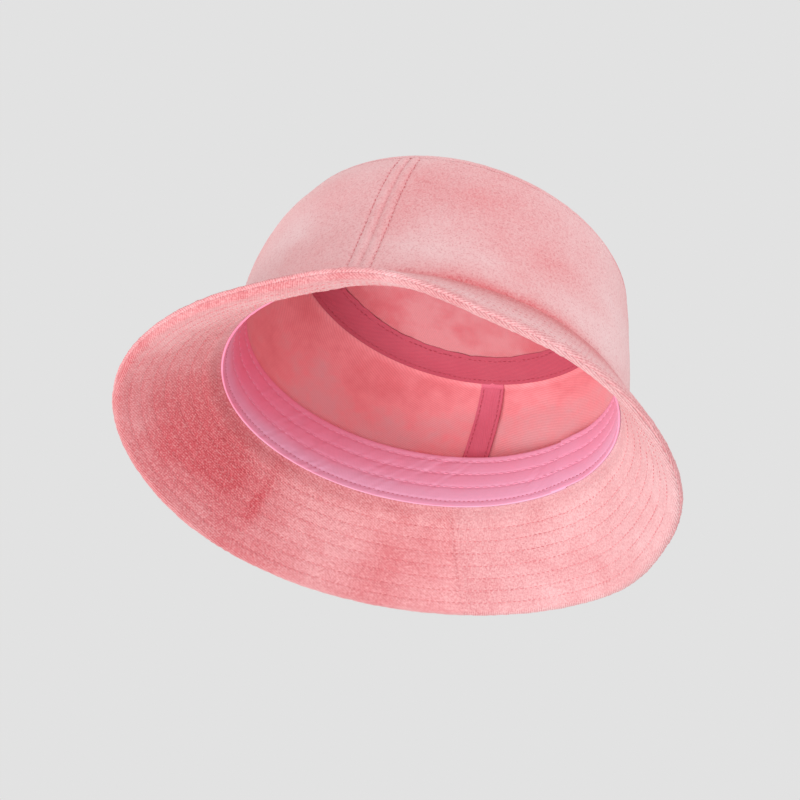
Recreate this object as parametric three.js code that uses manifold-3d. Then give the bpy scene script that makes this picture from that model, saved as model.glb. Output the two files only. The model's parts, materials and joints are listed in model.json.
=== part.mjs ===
// Terry bucket hat with a brim sewn from two layers, modelled as it is cut and sewn.
// Millimetres, +Z up. X runs along the long axis of the head opening and the side seams lie near +Y and -Y.
// The hat stands on the lowest point of its brim edge, which is at Z = 0.
import * as THREE from "three";
import { mergeVertices } from "three/addons/utils/BufferGeometryUtils.js";
import Module from "manifold-3d";

const wasm = await Module();
wasm.setup();

// ---- Head opening: inner face of the sweatband at its lower edge ----
const HEAD_A = 101.0; // half of the long axis
const HEAD_B = 83.8; // half of the short axis
const HEAD_SIZE = 92.5; // mean radius, for turning lengths into taper

// ---- Crown ----
const CROWN_H = 89.9; // height at which the lean and the tilt below are full
const TAPER_H = 87.6; // height at which the wall has lost TAPER of its size
const TAPER = 0.152;
const BULGE = 0.044; // how far the soft wall swells out above mid height
const BULGE_X = -0.043; // less swelling at the +X end, more at the -X end
const BULGE_Y = 0.005;
const BULGE_POWER = 1.96; // above 1 it moves the swelling up the wall
const LEAN = new THREE.Vector2(3.4, -0.3); // sideways shift of the top
const TILT = new THREE.Vector2(-0.112, -0.099); // slope of the top along X and Y
const WALL_FOOT = 2.2;
const WALL_TOP = 86.0;
const WALL_ROWS = [22, 40, 54, 66, 76]; // heights at which every layer of the wall has its facets' corners
const TERRY = 1.8; // thickness of one layer of terry
const TIP_TOP = 93.5;
const SHOULDER = 7.7; // radius of the rounded edge between wall and tip

// ---- Layers of the wall, measured outwards from the inner face of the sweatband ----
const BAND = [0.0, 1.0];
const BAND_CORE = [1.3, 1.7];
const SEAM_TAPE = [2.0, 2.5];
const ALLOWANCE = [2.8, 3.6];
const WALL = [3.7, 3.7 + TERRY];
const GAP = 0.3;

// ---- Brim ----
const BRIM_L = 57.5; // from the head seam to the edge, along the slope
const BRIM_ROOT = 3; // the brim's middle layer starts this far outside the sweatband face
const LAYER_IN = 0.7; // inner face of each terry layer, from the brim's mid surface
const LAYER_OUT = 2.8; // outer face of each terry layer
const CORE_T = 0.4; // half of the interlining's thickness
// Slope of the brim below the horizontal, in degrees, as a short Fourier series around the head.
const SLOPE = 46.7;
const SLOPE_WAVES = [
  [4.5, -2.5],
  [3.9, -2.2],
  [2.2, 0.8],
  [-1.2, 0.1],
  [0, 1.5],
  [-0.3, 0],
  [0, -0.3],
  [-0.7, -0.5],
];

// ---- Sewn rows and trims ----
const BRIM_ROWS = 7;
const ROW_FIRST = 10;
const ROW_PITCH = 6.7;
const BAND_H = 32.3;
const BAND_ROWS = [3.2, 12, 20.5, 29];
const SEAMS = [85, 261]; // side seams of crown and brim, degrees around the head
const BAND_JOIN_STEPS = 7; // the sweatband's ends lap this many facets before the first seam
const SIDE_TAPE_W = 12.5;
const TOPSTITCH = 5.5; // each side of the crown's side seams
// Lower face of the tape round the tip seam: height, and distance out from the sweatband's face.
const TIP_TAPE = [
  [86.5, 1.0],
  [88.6, -2.6],
  [90.3, -12.8],
];
const TIP_TAPE_T = 0.5;
const THREAD = 0.42;

const HALF_STEPS = [31, 33]; // facets from the first seam to the second, and back to the first
const DEG = Math.PI / 180;

const COLOURS = {
  terry: "#e9a3a7",
  terryUnder: "#e38a90",
  satin: "#e9829a",
  tape: "#d05465",
  core: "#f2e9e4",
  thread: "#d9747e",
  bandThread: "#f3a9bd",
};

// ---------- Surfaces of the hat ----------

// Point of the head oval at angle p (radians), moved out by off along the oval's own normal.
function oval(p, scale, off) {
  const nx = Math.cos(p) / HEAD_A;
  const ny = Math.sin(p) / HEAD_B;
  const n = Math.hypot(nx, ny);
  return [
    HEAD_A * scale * Math.cos(p) + (off * nx) / n,
    HEAD_B * scale * Math.sin(p) + (off * ny) / n,
  ];
}

function wallScale(p, z) {
  const bulge = BULGE + BULGE_X * Math.cos(p) + BULGE_Y * Math.sin(p);
  const share = (Math.min(z, CROWN_H) / CROWN_H) ** BULGE_POWER;
  return 1 - (TAPER * z) / TAPER_H + bulge * Math.sin(Math.PI * share);
}

// Point on the crown: height z before the tilt, off outwards from the sweatband's face.
function crownPoint(p, z, off, inset = 0) {
  const w = z / CROWN_H;
  const [x, y] = oval(p, wallScale(p, z), off - inset);
  const lift = w * w * (TILT.x * x + TILT.y * y);
  return new THREE.Vector3(x + LEAN.x * w, y + LEAN.y * w, z + lift);
}

function brimSlope(p) {
  return SLOPE_WAVES.reduce(
    (sum, [c, s], i) => sum + c * Math.cos((i + 1) * p) + s * Math.sin((i + 1) * p),
    SLOPE,
  );
}

// Point on the brim: s along the slope from the head seam, t above its mid surface.
function brimPoint(p, s, t) {
  const b = brimSlope(p) * DEG;
  const [x, y] = oval(p, 1, BRIM_ROOT + s * Math.cos(b) + t * Math.sin(b));
  return new THREE.Vector3(x, y, -s * Math.sin(b) + t * Math.cos(b));
}

// ---------- Solids ----------

function solid(points, triangles) {
  const geometry = new THREE.BufferGeometry();
  geometry.setAttribute(
    "position",
    new THREE.Float32BufferAttribute(points.flatMap((v) => v.toArray()), 3),
  );
  geometry.setIndex(triangles);
  return geometry;
}

// A strip of material: section(p) gives its outline as a closed loop of points, swept over the angles.
// A full circle of angles closes on itself; otherwise each end is capped.
function sweep(angles, section, full) {
  const loops = angles.map(section);
  const m = loops[0].length;
  const points = loops.flat();
  const triangles = [];
  const last = full ? loops.length : loops.length - 1;
  for (let i = 0; i < last; i++) {
    const a = i * m;
    const b = ((i + 1) % loops.length) * m;
    for (let j = 0; j < m; j++) {
      const k = (j + 1) % m;
      // Both faces of a layer are cut along the same diagonal, so that their facets stay parallel.
      if (j < m / 2 - 1) triangles.push(a + j, b + j, b + k, a + j, b + k, a + k);
      else triangles.push(a + j, b + j, a + k, b + j, b + k, a + k);
    }
  }
  if (!full) {
    const end = (loops.length - 1) * m;
    for (let j = 0; j < m / 2 - 1; j++) {
      const [q, r, s, t] = [j, j + 1, m - 2 - j, m - 1 - j];
      triangles.push(q, r, s, q, s, t);
      triangles.push(end + q, end + s, end + r, end + q, end + t, end + s);
    }
  }
  return solid(points, triangles);
}

// A closed outline from two faces of a layer, given in the same order.
function outline(front, back) {
  return [...front, ...back.slice().reverse()];
}

function anglesFrom(start, end, count) {
  return Array.from({ length: count + 1 }, (_, i) => (start + ((end - start) * i) / count) * DEG);
}

// Every piece uses the same angles, so that the facets of neighbouring layers stay parallel.
const HALVES = [
  anglesFrom(SEAMS[0], SEAMS[1], HALF_STEPS[0]),
  anglesFrom(SEAMS[1], SEAMS[0] + 360, HALF_STEPS[1]),
];
const FULL = [...HALVES[0].slice(0, -1), ...HALVES[1].slice(0, -1)];
const STEPS = FULL.length;

// Angles of one half of the hat, from one seam to the next, stopping half a gap short of each.
function halfAngles(side) {
  const angles = [...HALVES[side]];
  angles[0] += GAP / 2 / HEAD_SIZE;
  angles[angles.length - 1] -= GAP / 2 / HEAD_SIZE;
  return angles;
}

// Makes a geometry face outwards whichever way it was swept.
function facingOut(geometry) {
  const at = geometry.attributes.position;
  const index = geometry.index.array;
  const [a, b, c] = [new THREE.Vector3(), new THREE.Vector3(), new THREE.Vector3()];
  let volume = 0;
  for (let i = 0; i < index.length; i += 3) {
    a.fromBufferAttribute(at, index[i]);
    b.fromBufferAttribute(at, index[i + 1]);
    c.fromBufferAttribute(at, index[i + 2]);
    volume += a.dot(b.cross(c));
  }
  if (volume < 0)
    for (let i = 0; i < index.length; i += 3)
      [index[i + 1], index[i + 2]] = [index[i + 2], index[i + 1]];
  return geometry;
}

function toManifold(geometry) {
  const g = facingOut(geometry.clone());
  g.deleteAttribute("normal");
  g.deleteAttribute("uv");
  const merged = mergeVertices(g, 1e-4);
  return new wasm.Manifold(
    new wasm.Mesh({
      numProp: 3,
      vertProperties: merged.attributes.position.array,
      triVerts: new Uint32Array(merged.index.array),
    }),
  );
}

function fromManifold(body) {
  const m = body.getMesh();
  const g = new THREE.BufferGeometry();
  g.setAttribute("position", new THREE.Float32BufferAttribute(m.vertProperties, 3));
  g.setIndex(Array.from(m.triVerts));
  return g;
}

// ---------- The hat ----------

const hat = new THREE.Group();

function add(name, geometry, colour, roughness = 0.95) {
  const material = new THREE.MeshStandardMaterial({ color: colour, roughness, metalness: 0 });
  const mesh = new THREE.Mesh(facingOut(geometry), material);
  mesh.name = name;
  hat.add(mesh);
}

// Crown tip: an oval panel, flat in the middle, whose edge rolls down to the wall.
function crownTip() {
  const wall = WALL[1];
  const roll = (depth) =>
    [28, 50, 70, 90].map((angle) => {
      const r = SHOULDER - depth;
      return [depth + r * (1 - Math.cos(angle * DEG)), TIP_TOP - depth - r * (1 - Math.sin(angle * DEG))];
    });
  const top = [[0, WALL_TOP + GAP], ...roll(0), [22, TIP_TOP]];
  const under = [[TERRY, WALL_TOP + GAP], ...roll(TERRY), [22, TIP_TOP - TERRY]];
  const points = [];
  const triangles = [];
  const ring = (inset, z) => FULL.map((p) => crownPoint(p, z, wall, inset));
  const rows = [...top.slice().reverse(), ...under].map(([inset, z]) => ring(inset, z));
  rows.forEach((row) => points.push(...row));
  for (let r = 0; r < rows.length - 1; r++)
    for (let i = 0; i < STEPS; i++) {
      const [a, b] = [r * STEPS + i, r * STEPS + ((i + 1) % STEPS)];
      const [c, d] = [a + STEPS, b + STEPS];
      triangles.push(a, c, b, b, c, d);
    }
  const centre = (row) =>
    row.reduce((sum, v) => sum.add(v), new THREE.Vector3()).divideScalar(row.length);
  const first = points.push(centre(rows[0])) - 1;
  const last = points.push(centre(rows[rows.length - 1])) - 1;
  const end = (rows.length - 1) * STEPS;
  for (let i = 0; i < STEPS; i++) {
    const j = (i + 1) % STEPS;
    triangles.push(first, i, j);
    triangles.push(last, end + j, end + i);
  }
  return solid(points, triangles);
}

add("crown_tip_panel", crownTip(), COLOURS.terry);

// Crown sides: two halves. Each one's upper allowance turns in under the tip, and its two ends fold back
// inside along the side seams, as the allowances of a sewn seam do.
function crownSide(side) {
  const heights = [WALL_FOOT, ...WALL_ROWS];
  // The upper edge and its allowance: outer face, then inner face, as height and distance out.
  const turnedIn = [
    [WALL_TOP, WALL[1]],
    [WALL_TOP + 0.1, WALL[0] - 0.4],
    [88.2, 2.7],
    [90.0, 1.3],
    [91.1, -0.9],
    [91.4, -9],
  ];
  const turnedInside = [
    [84.5, WALL[0]],
    [85.9, 2.5],
    [87.0, 1.4],
    [88.2, -0.2],
    [89.6, -3.4],
    [90.6, -9],
  ];
  const section = (p) =>
    outline(
      [...heights.map((z) => [z, WALL[1]]), ...turnedIn].map(([z, off]) => crownPoint(p, z, off)),
      [...heights.map((z) => [z, WALL[0]]), ...turnedInside].map(([z, off]) => crownPoint(p, z, off)),
    );
  const angles = halfAngles(side);
  let body = toManifold(sweep(angles, section, false));
  const foldHeights = [11, ...WALL_ROWS];
  const fold = (p) =>
    outline(
      foldHeights.map((z) => crownPoint(p, z, ALLOWANCE[1] + 0.4)),
      foldHeights.map((z) => crownPoint(p, z, ALLOWANCE[0])),
    );
  const width = 6 / HEAD_SIZE / DEG;
  const ends = [angles[0] / DEG, angles[angles.length - 1] / DEG];
  body = body.add(toManifold(sweep(anglesFrom(ends[0], ends[0] + width, 2), fold, false)));
  body = body.add(toManifold(sweep(anglesFrom(ends[1] - width, ends[1], 2), fold, false)));
  return fromManifold(body);
}

add("crown_side_panel_a", crownSide(0), COLOURS.terry);
add("crown_side_panel_b", crownSide(1), COLOURS.terry);

// Tape over the seam between the tip and the sides, inside the crown.
add(
  "tip_seam_tape",
  sweep(
    FULL,
    (p) =>
      outline(
        TIP_TAPE.map(([z, off]) => crownPoint(p, z + TIP_TAPE_T, off)),
        TIP_TAPE.map(([z, off]) => crownPoint(p, z, off)),
      ),
    true,
  ),
  COLOURS.tape,
  0.7,
);

// Tape over each side seam, from behind the sweatband up to the tip tape.
function sideTape(seam) {
  const radius = HEAD_SIZE * 0.93;
  const half = SIDE_TAPE_W / 2 / radius / DEG;
  const rows = [11, ...WALL_ROWS, 84.2, 85.6].map((z) => [z, z > 85 ? -0.8 : 0]);
  return sweep(
    anglesFrom(seam - half, seam + half, 2),
    (p) =>
      outline(
        rows.map(([z, inwards]) => crownPoint(p, z, SEAM_TAPE[1] + inwards)),
        rows.map(([z, inwards]) => crownPoint(p, z, SEAM_TAPE[0] + inwards)),
      ),
    false,
  );
}

["a", "b"].forEach((name, i) =>
  add("side_seam_tape_" + name, sideTape(SEAMS[i]), COLOURS.tape, 0.7),
);

// Brim: upper and lower terry layers, each in two halves, with an interlining between them. Their inner edges
// turn up inside the crown behind the sweatband, and their outer edges roll together.
const TURN_UP = 8.3;
const MID_ROWS = [18, 35];

function topLayer(p) {
  const upper = [
    crownPoint(p, TURN_UP, 3.2),
    crownPoint(p, 1.6, 3.2),
    brimPoint(p, 1, LAYER_OUT),
    ...MID_ROWS.map((s) => brimPoint(p, s, LAYER_OUT)),
    brimPoint(p, BRIM_L - 5, LAYER_OUT),
    brimPoint(p, BRIM_L - 2.0, 2.55),
    brimPoint(p, BRIM_L - 0.6, 1.6),
    brimPoint(p, BRIM_L, 0.15),
  ];
  const lower = [
    crownPoint(p, TURN_UP, 2.4),
    crownPoint(p, 0.5, 2.4),
    brimPoint(p, 1, LAYER_IN),
    ...MID_ROWS.map((s) => brimPoint(p, s, LAYER_IN)),
    brimPoint(p, BRIM_L - 5, LAYER_IN),
    brimPoint(p, BRIM_L - 3, LAYER_IN),
    brimPoint(p, BRIM_L - 1.8, 0.45),
    brimPoint(p, BRIM_L - 1.5, 0.15),
  ];
  return outline(upper, lower);
}

function underLayer(p) {
  const upper = [
    crownPoint(p, TURN_UP, 2.1),
    crownPoint(p, 0.2, 2.1),
    brimPoint(p, 2, -LAYER_IN),
    ...MID_ROWS.map((s) => brimPoint(p, s, -LAYER_IN)),
    brimPoint(p, BRIM_L - 5, -LAYER_IN),
    brimPoint(p, BRIM_L - 3, -LAYER_IN),
    brimPoint(p, BRIM_L - 1.8, -0.45),
    brimPoint(p, BRIM_L - 1.5, -0.15),
  ];
  const lower = [
    crownPoint(p, TURN_UP, 1.3),
    crownPoint(p, 0, 1.3),
    brimPoint(p, 2, -LAYER_OUT),
    ...MID_ROWS.map((s) => brimPoint(p, s, -LAYER_OUT)),
    brimPoint(p, BRIM_L - 5, -LAYER_OUT),
    brimPoint(p, BRIM_L - 2.0, -2.55),
    brimPoint(p, BRIM_L - 0.6, -1.6),
    brimPoint(p, BRIM_L, -0.15),
  ];
  return outline(upper, lower);
}

["a", "b"].forEach((name, side) => {
  const angles = halfAngles(side);
  add("brim_top_layer_" + name, sweep(angles, topLayer, false), COLOURS.terry);
  add("brim_under_layer_" + name, sweep(angles, underLayer, false), COLOURS.terryUnder);
});

add(
  "brim_interlining",
  sweep(
    FULL,
    (p) => {
      const rows = [3.5, ...MID_ROWS, BRIM_L - 4];
      return outline(
        rows.map((s) => brimPoint(p, s, CORE_T)),
        rows.map((s) => brimPoint(p, s, -CORE_T)),
      );
    },
    true,
  ),
  COLOURS.core,
);

// Sweatband: one strip whose end laps over its start for one facet, stepping inwards to pass over it.
const LAP_STEP = 1.35;
const LAP = [STEPS - BAND_JOIN_STEPS, STEPS - BAND_JOIN_STEPS + 1].map((i) => FULL[i]);

function lapStep(p) {
  return LAP.some((q) => Math.abs(p - q) < 1e-9) ? LAP_STEP : 0;
}

function bandStrip() {
  const start = STEPS - BAND_JOIN_STEPS;
  const turn = [...FULL.slice(start), ...FULL.slice(0, start)].map((p) => ({ p, step: 0 }));
  const lap = LAP.map((p) => ({ p, step: LAP_STEP }));
  const heights = [0, BAND_H / 2, BAND_H];
  return sweep(
    [...turn, ...lap],
    ({ p, step }) =>
      outline(
        heights.map((z) => crownPoint(p, z, BAND[1] - step)),
        heights.map((z) => crownPoint(p, z, BAND[0] - step)),
      ),
    false,
  );
}

add("sweatband", bandStrip(), COLOURS.satin, 0.45);
add(
  "sweatband_interlining",
  sweep(
    FULL,
    (p) =>
      outline(
        [crownPoint(p, 9.5, BAND_CORE[1]), crownPoint(p, BAND_H - 2, BAND_CORE[1])],
        [crownPoint(p, 9.5, BAND_CORE[0]), crownPoint(p, BAND_H - 2, BAND_CORE[0])],
      ),
    true,
  ),
  COLOURS.core,
);

// ---------- Stitching: one closed ring or strip of thread for each sewn row ----------

// A three-sided thread that runs through at(p, along, out) for every angle.
function threadRing(at) {
  return sweep(
    FULL,
    (p) => [at(p, -THREAD / 2, 0), at(p, THREAD / 2, 0), at(p, 0, THREAD * 0.8)],
    true,
  );
}

for (let i = 0; i < BRIM_ROWS; i++) {
  const s = ROW_FIRST + i * ROW_PITCH;
  const lift = LAYER_OUT + GAP;
  add(
    "brim_stitch_row_top_" + (i + 1),
    threadRing((p, along, out) => brimPoint(p, s + along, lift + out)),
    COLOURS.thread,
  );
  add(
    "brim_stitch_row_under_" + (i + 1),
    threadRing((p, along, out) => brimPoint(p, s + along, -lift - out)),
    COLOURS.thread,
  );
}

BAND_ROWS.forEach((z, i) =>
  add(
    "sweatband_stitch_row_" + (i + 1),
    threadRing((p, along, out) => crownPoint(p, z + along, -GAP - out - lapStep(p))),
    COLOURS.bandThread,
  ),
);

// Two rows hold the tape: one near its lower edge and one near its upper edge.
[
  [0, 0.35],
  [1, 0.75],
].forEach(([part, share], i) =>
  add(
    "tip_tape_stitch_row_" + (i + 1),
    threadRing((p, along, out) => {
      const [a, b] = [TIP_TAPE[part], TIP_TAPE[part + 1]];
      const z = a[0] + (b[0] - a[0]) * share;
      const off = a[1] + (b[1] - a[1]) * share;
      return crownPoint(p, z - 0.6 - out, off + along);
    }),
    COLOURS.tape,
  ),
);

// Topstitching beside each side seam, outside, and the rows that hold the tape, inside.
function threadStrip(seam, distance, off, outwards, low, high) {
  const heights = [low, ...WALL_ROWS.filter((z) => z > low), high];
  const loops = heights.map((z) => {
    const turn = (d) => seam * DEG + d / (HEAD_SIZE * wallScale(seam * DEG, z));
    return [
      crownPoint(turn(distance - THREAD / 2), z, off),
      crownPoint(turn(distance + THREAD / 2), z, off),
      crownPoint(turn(distance), z, off + outwards * THREAD * 0.8),
    ];
  });
  const points = loops.flat();
  const triangles = [0, 1, 2];
  for (let i = 0; i < loops.length - 1; i++)
    for (let j = 0; j < 3; j++) {
      const [a, b] = [i * 3 + j, i * 3 + ((j + 1) % 3)];
      triangles.push(a, a + 3, b + 3, a, b + 3, b);
    }
  const end = (loops.length - 1) * 3;
  triangles.push(end, end + 2, end + 1);
  return solid(points, triangles);
}

SEAMS.forEach((seam, i) => {
  const name = ["a", "b"][i];
  [-1, 1].forEach((side) => {
    const hand = side < 0 ? "left" : "right";
    add(
      `side_seam_topstitch_${name}_${hand}`,
      threadStrip(seam, side * TOPSTITCH, WALL[1] + GAP + 0.2, 1, 5, 84),
      COLOURS.thread,
    );
    add(
      `side_tape_stitch_${name}_${hand}`,
      threadStrip(seam, side * (SIDE_TAPE_W / 2 - 1.6), SEAM_TAPE[0] - GAP - 0.1, -1, BAND_H + 1, 83),
      COLOURS.tape,
    );
  });
});

// ---------- Frame: centre of the outline at X = Y = 0, lowest point at Z = 0 ----------

const box = new THREE.Box3().setFromObject(hat);
const centre = box.getCenter(new THREE.Vector3());
hat.children.forEach((mesh) => mesh.position.set(-centre.x, -centre.y, -box.min.z));

export default hat;
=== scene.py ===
"""Looks of the terry bucket hat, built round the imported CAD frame."""

import json
import math

import bpy
import numpy as np
from mathutils import Matrix, Vector


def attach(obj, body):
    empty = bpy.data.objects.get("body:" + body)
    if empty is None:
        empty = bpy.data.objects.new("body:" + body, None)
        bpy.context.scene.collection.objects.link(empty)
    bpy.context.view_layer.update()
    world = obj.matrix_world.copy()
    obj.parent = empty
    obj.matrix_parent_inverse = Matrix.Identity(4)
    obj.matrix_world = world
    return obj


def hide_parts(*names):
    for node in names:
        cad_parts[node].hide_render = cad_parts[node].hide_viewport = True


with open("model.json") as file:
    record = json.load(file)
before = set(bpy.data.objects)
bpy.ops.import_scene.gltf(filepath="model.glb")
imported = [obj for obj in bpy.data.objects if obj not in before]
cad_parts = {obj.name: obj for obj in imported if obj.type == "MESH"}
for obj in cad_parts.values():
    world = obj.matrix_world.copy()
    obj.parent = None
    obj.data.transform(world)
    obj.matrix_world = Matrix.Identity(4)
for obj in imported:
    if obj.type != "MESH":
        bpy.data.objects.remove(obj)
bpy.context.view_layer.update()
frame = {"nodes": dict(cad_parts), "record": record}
MM = 0.001

# ---------- Shape of the hat, as in the CAD (millimetres from the head seam's centre) ----------

HEAD_A, HEAD_B, HEAD_R = 101.0, 83.8, 92.5
CROWN_H, TAPER_H, TAPER = 89.9, 87.6, 0.152
BULGE, BULGE_X, BULGE_Y, BULGE_POWER = 0.044, -0.043, 0.005, 1.96
LEAN, TILT = (3.4, -0.3), (-0.112, -0.099)
WALL_IN, WALL_OUT, WALL_TOP, TIP_TOP, TERRY, SHOULDER = 3.7, 5.5, 86.0, 93.5, 1.8, 7.7
BRIM_L, BRIM_ROOT, LAYER_IN, LAYER_OUT = 57.5, 3.0, 0.7, 2.8
SLOPE = 46.7
SAG, SAG_AT, SAG_HALF = 5.2, 246, 31  # the brim droops between its edge and the head on one side
SLOPE_WAVES = [
    (4.5, -2.5), (3.9, -2.2), (2.2, 0.8), (-1.2, 0.1),
    (0, 1.5), (-0.3, 0), (0, -0.3), (-0.7, -0.5),
]
BRIM_ROWS = [10 + 6.7 * i for i in range(7)]
BAND_H, BAND_ROWS = 32.3, [3.2, 12.0, 20.5, 29.0]
SEAMS = [math.radians(85), math.radians(261)]
SIDE_TAPE_W, TOPSTITCH = 12.5, 5.5
STITCH = 2.9
WALL_ARC = 0.93  # length round the wall over length round the head
RIB_SCALE = 0.2856  # wave scale that gives ribs 1.1 mm apart

opening = next(m for m in frame["record"]["mounts"] if m["name"] == "head_opening")
ORIGIN = np.array(opening["pos_m"])


def oval(p, scale, off):
    nx, ny = np.cos(p) / HEAD_A, np.sin(p) / HEAD_B
    n = np.hypot(nx, ny)
    return HEAD_A * scale * np.cos(p) + off * nx / n, HEAD_B * scale * np.sin(p) + off * ny / n


def wall_scale(p, z):
    bulge = BULGE + BULGE_X * np.cos(p) + BULGE_Y * np.sin(p)
    swell = np.sin(np.pi * (np.clip(z, 0, CROWN_H) / CROWN_H) ** BULGE_POWER)
    return 1 - TAPER * z / TAPER_H + bulge * swell


def lean_of_seam(p, turn):
    """The far seam leans a little: cloth near it is turned by that many degrees, fading round the head."""
    return p + np.radians(turn) * np.clip(np.cos(p - SEAMS[0]), 0, 1) ** 2


def crown(p, z, off):
    """Points of the crown at angle p and height z, off outwards from the sweatband's face."""
    p, z, off = np.broadcast_arrays(p, z, off)
    p = lean_of_seam(p, np.interp(z, [0, 30, 90], [1.8, -1.2, -2.4]))
    w = z / CROWN_H
    x, y = oval(p, wall_scale(p, z), off)
    lift = w * w * (TILT[0] * x + TILT[1] * y)
    return np.stack([x + LEAN[0] * w, y + LEAN[1] * w, z + lift], -1)


def slope(p):
    total = SLOPE + 0.25 * np.sin(11 * p + 2.2)
    for i, (c, s) in enumerate(SLOPE_WAVES):
        total = total + c * np.cos((i + 1) * p) + s * np.sin((i + 1) * p)
    return np.radians(total)


def brim(p, s, t):
    """Points of the brim: s down the slope from the head seam, t above its mid surface."""
    p, s, t = np.broadcast_arrays(p, s, t)
    p = lean_of_seam(p, np.interp(s, [0, 57], [1.8, -0.5]))
    b = slope(p)
    x, y = oval(p, 1, BRIM_ROOT + s * np.cos(b) + t * np.sin(b))
    away = np.mod(p, 2 * math.pi) - math.radians(SAG_AT)
    near = np.exp(-((away / math.radians(SAG_HALF)) ** 2))
    sag = SAG * near * np.sin(math.pi * np.clip(s / BRIM_L, 0, 1) ** 1.6)
    return np.stack([x, y, -s * np.sin(b) + t * np.cos(b) - sag], -1)


# ---------- Smooth noise for cloth that isn't perfectly flat ----------

TABLE = np.random.default_rng(7).random((64, 64, 64)) * 2 - 1


def noise(x, y, z=0.0):
    x, y, z = np.broadcast_arrays(x, y, z)
    total = 0
    whole = [np.floor(v).astype(int) for v in (x, y, z)]
    part = [v - w for v, w in zip((x, y, z), whole)]
    part = [v * v * (3 - 2 * v) for v in part]
    for corner in range(8):
        bits = [(corner >> k) & 1 for k in range(3)]
        index = tuple((w + b) % 64 for w, b in zip(whole, bits))
        weight = 1
        for v, b in zip(part, bits):
            weight = weight * (v if b else 1 - v)
        total = total + weight * TABLE[index]
    return total


def soft_noise(points, size, seed=0.0):
    """Noise over points in millimetres, with features about that size."""
    q = points / size + seed * 17.3
    return noise(q[..., 0], q[..., 1], q[..., 2])


# ---------- Mesh helpers ----------


def build(name, points, faces, material):
    """An object from points in millimetres and faces of three or four corners, or lists of any length."""
    mesh = bpy.data.meshes.new(name)
    mesh.from_pydata((points * MM + ORIGIN).tolist(), [], faces)
    mesh.validate()
    mesh.polygons.foreach_set("use_smooth", [True] * len(mesh.polygons))
    mesh.materials.append(material)
    obj = bpy.data.objects.new(name, mesh)
    bpy.context.scene.collection.objects.link(obj)
    return obj


def grid_faces(n, m, wrap_n, wrap_m):
    """Quads of an n by m grid of points, closed on itself where wrap is true."""
    rows, columns = np.arange(n if wrap_n else n - 1), np.arange(m if wrap_m else m - 1)
    i, j = np.meshgrid(rows, columns, indexing="ij")
    a = (i * m + j).ravel()
    b = (((i + 1) % n) * m + j).ravel()
    c = (((i + 1) % n) * m + (j + 1) % m).ravel()
    d = (i * m + (j + 1) % m).ravel()
    return np.stack([a, b, c, d], 1)


def sweep(name, loops, full, material):
    """A closed strip from loops of shape (angles, outline, 3); open ends are capped."""
    n, m, _ = loops.shape
    points = loops.reshape(-1, 3)
    quads = grid_faces(n, m, full, True)
    v = points[quads]
    area = np.cross(v[:, 2] - v[:, 0], v[:, 3] - v[:, 1])
    inside_out = np.einsum("ij,ij->", v.mean(1), area) < 0
    faces = (quads[:, ::-1] if inside_out else quads).tolist()
    if not full:
        first, last = list(range(m)), list(range((n - 1) * m, n * m))
        faces.append(first if not inside_out else first[::-1])
        faces.append(last[::-1] if not inside_out else last)
    obj = build(name, points, faces, material)
    if not full:
        mesh = obj.data
        for polygon in mesh.polygons[-2:]:
            for loop in polygon.loop_indices:
                mesh.edges[mesh.loops[loop].edge_index].use_edge_sharp = True
    return obj


def strip_outline(front, back):
    return np.concatenate([front, back[:, ::-1]], 1)


def paint(obj, **layers):
    """Values stored at the vertices for the materials to read."""
    for name, values in layers.items():
        values = np.asarray(values, np.float32)
        kind = "FLOAT_VECTOR" if values.shape[-1:] == (3,) else "FLOAT"
        layer = obj.data.attributes.new(name, kind, "POINT")
        layer.data.foreach_set("vector" if kind == "FLOAT_VECTOR" else "value", values.ravel())


def seat(obj, slot, *nodes, flat=None, area=None):
    """Ties a piece to the hat. Cloth also gives the size it was cut to, in metres, and its flat area, which
    are not used.
    """
    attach(obj, "root")
    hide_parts(*nodes)
    return obj


def half_angles(side, step=0.55, gap=0.01):
    """Angles from one seam to the other, closer together beside the seams."""
    start = SEAMS[0] if side == 0 else SEAMS[1]
    end = SEAMS[1] if side == 0 else SEAMS[0] + 2 * math.pi
    length = (end - start) * HEAD_R
    near = np.arange(gap, 9, 0.4)
    middle = np.linspace(9, length - 9, int((length - 18) / step))
    return start + np.concatenate([near, middle, (length - near)[::-1]]) / HEAD_R


def ring_angles(step=0.9):
    return np.linspace(0, 2 * math.pi, int(2 * math.pi * HEAD_R / step), endpoint=False)


def seam_distance(p):
    """Distance along the head from the nearest side seam, in millimetres, and its sign."""
    best = None
    for seam in SEAMS:
        d = (np.mod(p - seam + math.pi, 2 * math.pi) - math.pi) * HEAD_R
        best = d if best is None else np.where(np.abs(d) < np.abs(best), d, best)
    return best


def groove(distance, width):
    return np.exp(-((distance / width) ** 2))


def dashes(along, pitch=STITCH):
    """1 in the middle of each stitch and 0 between two stitches."""
    return 0.5 + 0.5 * np.cos(2 * np.pi * along / pitch)


def spots(p, v, *places):
    """Soft patches. A place is an angle in degrees, a height, two half widths in mm and a weight."""
    total = 0
    for angle, height, wide, high, weight in places:
        d = (np.mod(p - math.radians(angle) + math.pi, 2 * math.pi) - math.pi) * HEAD_R
        total = total + weight * np.exp(-((d / wide) ** 2) - ((v - height) / high) ** 2)
    return total


# ---------- Materials ----------


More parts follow.
